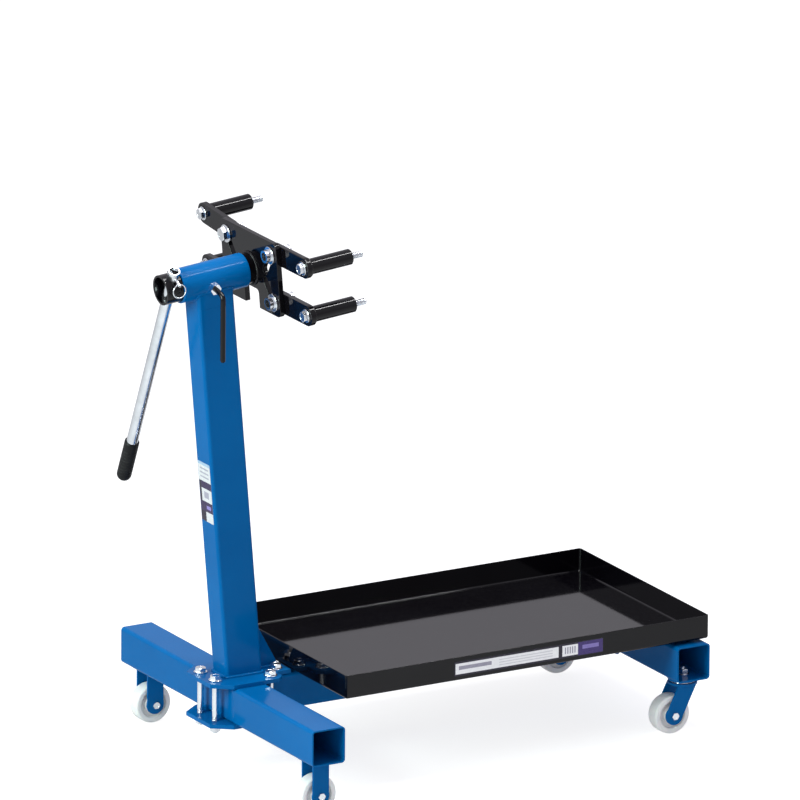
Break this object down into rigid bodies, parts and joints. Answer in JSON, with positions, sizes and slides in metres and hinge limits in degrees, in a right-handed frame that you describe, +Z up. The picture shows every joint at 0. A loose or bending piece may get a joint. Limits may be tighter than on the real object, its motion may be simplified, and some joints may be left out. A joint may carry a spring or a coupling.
{
  "type": "engine stand",
  "caption": "Wheeled steel stand with a leaning mast, a turning head plate with adjustable arms, a long turning handle and a drip tray.",
  "frame": {"origin": "on the floor, under the centre of the whole stand at rest", "axes": "+X from the mast to the drip tray, +Y to the left seen from behind the mast, +Z up"},
  "size_m": [1.0462, 0.725, 1.0426],
  "materials": {
    "blue_gloss_paint": "gloss",
    "black_gloss_paint": "gloss",
    "chrome_plate": "polished",
    "white_nylon": "satin",
    "black_rubber": "matte",
    "label_vinyl": "gloss"
  },
  "bodies": {
    "stand": {"rear_leg": "blue_gloss_paint", "front_leg": "blue_gloss_paint", "main_beam": "blue_gloss_paint", "mast_column": "blue_gloss_paint", "mast_gusset": "blue_gloss_paint", "mast_label": "label_vinyl", "foot_plate": "blue_gloss_paint", "clamp_plate": "blue_gloss_paint", "foot_bolts": "chrome_plate", "foot_washers": "chrome_plate", "foot_nuts": "chrome_plate", "beam_bolts": "chrome_plate", "collar_saddle": "blue_gloss_paint", "collar_tube": "blue_gloss_paint", "clamp_nut": "chrome_plate", "fixed_forks": "blue_gloss_paint", "fixed_axle_bolts": "chrome_plate", "fixed_axle_sleeves": "chrome_plate", "fixed_axle_nuts": "chrome_plate", "swivel_races": "blue_gloss_paint", "swivel_bearings": "chrome_plate", "kingpins": "chrome_plate", "kingpin_nuts": "chrome_plate"},
    "tray": {"drip_tray": "black_gloss_paint", "tray_label": "label_vinyl", "tray_pads": "black_rubber"},
    "clamp_screw": {"clamp_screw": "black_gloss_paint"},
    "head": {"head_shaft": "black_gloss_paint", "head_plate": "black_gloss_paint"},
    "handle": {"handle_bar": "chrome_plate", "handle_grip": "black_rubber", "handle_pin": "chrome_plate"},
    "pull_ring": {"pull_ring": "chrome_plate"},
    "wheel_rear_left": {"fixed_wheel_left": "white_nylon"},
    "wheel_rear_right": {"fixed_wheel_right": "white_nylon"},
    "castor_left": {"swivel_fork_left": "blue_gloss_paint", "swivel_axle_left": "chrome_plate"},
    "castor_right": {"swivel_fork_right": "blue_gloss_paint", "swivel_axle_right": "chrome_plate"},
    "wheel_front_left": {"swivel_wheel_left": "white_nylon"},
    "wheel_front_right": {"swivel_wheel_right": "white_nylon"},
    "bolt_upper_left": {"arm_bolt_upper_left": "chrome_plate"},
    "arm_upper_left": {"arm_upper_left": "black_gloss_paint", "arm_sleeve_upper_left": "black_gloss_paint", "engine_bolt_upper_left": "chrome_plate"},
    "bolt_upper_right": {"arm_bolt_upper_right": "chrome_plate"},
    "arm_upper_right": {"arm_upper_right": "black_gloss_paint", "arm_sleeve_upper_right": "black_gloss_paint", "engine_bolt_upper_right": "chrome_plate"},
    "bolt_lower_left": {"arm_bolt_lower_left": "chrome_plate"},
    "arm_lower_left": {"arm_lower_left": "black_gloss_paint", "arm_sleeve_lower_left": "black_gloss_paint", "engine_bolt_lower_left": "chrome_plate"},
    "bolt_lower_right": {"arm_bolt_lower_right": "chrome_plate"},
    "arm_lower_right": {"arm_lower_right": "black_gloss_paint", "arm_sleeve_lower_right": "black_gloss_paint", "engine_bolt_lower_right": "chrome_plate"}
  },
  "joints": [
    {"name": "head_turn", "type": "hinge", "parent": "stand", "child": "head", "pos_m": [-0.41704, 0, 0.95537], "axis": [0.9962, 0, 0.0872], "continuous": true},
    {"name": "handle_slide", "type": "slide", "parent": "head", "child": "handle", "axis": [-0.0762, -0.4848, 0.8713], "range_m": [0, 0.37]},
    {"name": "pull_ring_swing", "type": "hinge", "parent": "handle", "child": "pull_ring", "pos_m": [-0.50213, -0.03641, 0.96417], "axis": [-0.9962, 0, -0.0872], "range_deg": [0, 70]},
    {"name": "clamp_screw_turn", "type": "hinge", "parent": "stand", "child": "clamp_screw", "pos_m": [-0.428, 0, 0.95441], "axis": [0.0181, -0.9781, -0.2071], "range_deg": [0, 35]},
    {"name": "bolt_slide_upper_left", "type": "slide", "parent": "head", "child": "bolt_upper_left", "axis": [0.0723, -0.5592, -0.8259], "range_m": [-0.006, 0.03]},
    {"name": "bolt_slide_upper_right", "type": "slide", "parent": "head", "child": "bolt_upper_right", "axis": [0.0723, 0.5592, -0.8259], "range_m": [-0.006, 0.03]},
    {"name": "bolt_slide_lower_left", "type": "slide", "parent": "head", "child": "bolt_lower_left", "axis": [-0.0723, -0.5592, 0.8259], "range_m": [-0.006, 0.03]},
    {"name": "bolt_slide_lower_right", "type": "slide", "parent": "head", "child": "bolt_lower_right", "axis": [-0.0723, 0.5592, 0.8259], "range_m": [-0.006, 0.03]},
    {"name": "arm_turn_upper_left", "type": "hinge", "parent": "bolt_upper_left", "child": "arm_upper_left", "pos_m": [-0.32046, 0.08177, 1.01023], "axis": [0.9962, 0, 0.0872], "range_deg": [-13, 70]},
    {"name": "arm_turn_upper_right", "type": "hinge", "parent": "bolt_upper_right", "child": "arm_upper_right", "pos_m": [-0.32046, -0.08177, 1.01023], "axis": [-0.9962, 0, -0.0872], "range_deg": [-8, 75]},
    {"name": "arm_turn_lower_left", "type": "hinge", "parent": "bolt_lower_left", "child": "arm_lower_left", "pos_m": [-0.3124, 0.08177, 0.91812], "axis": [-0.9962, 0, -0.0872], "range_deg": [-8, 75]},
    {"name": "arm_turn_lower_right", "type": "hinge", "parent": "bolt_lower_right", "child": "arm_lower_right", "pos_m": [-0.3124, -0.08177, 0.91812], "axis": [0.9962, 0, 0.0872], "range_deg": [-8, 75]},
    {"name": "tray_lift", "type": "slide", "parent": "stand", "child": "tray", "axis": [0, 0, 1], "range_m": [0, 0.3]},
    {"name": "wheel_turn_rear_left", "type": "hinge", "parent": "stand", "child": "wheel_rear_left", "pos_m": [-0.36487, 0.313, 0.0375], "axis": [0, 1, 0], "continuous": true},
    {"name": "wheel_turn_rear_right", "type": "hinge", "parent": "stand", "child": "wheel_rear_right", "pos_m": [-0.36487, -0.313, 0.0375], "axis": [0, 1, 0], "continuous": true},
    {"name": "castor_swivel_left", "type": "hinge", "parent": "stand", "child": "castor_left", "pos_m": [0.48313, 0.21, 0.106], "axis": [0, 0, 1], "continuous": true},
    {"name": "wheel_turn_front_left", "type": "hinge", "parent": "castor_left", "child": "wheel_front_left", "pos_m": [0.45413, 0.21, 0.0375], "axis": [0, 1, 0], "continuous": true},
    {"name": "castor_swivel_right", "type": "hinge", "parent": "stand", "child": "castor_right", "pos_m": [0.48313, -0.21, 0.106], "axis": [0, 0, 1], "continuous": true},
    {"name": "wheel_turn_front_right", "type": "hinge", "parent": "castor_right", "child": "wheel_front_right", "pos_m": [0.45413, -0.21, 0.0375], "axis": [0, 1, 0], "continuous": true}
  ]
}
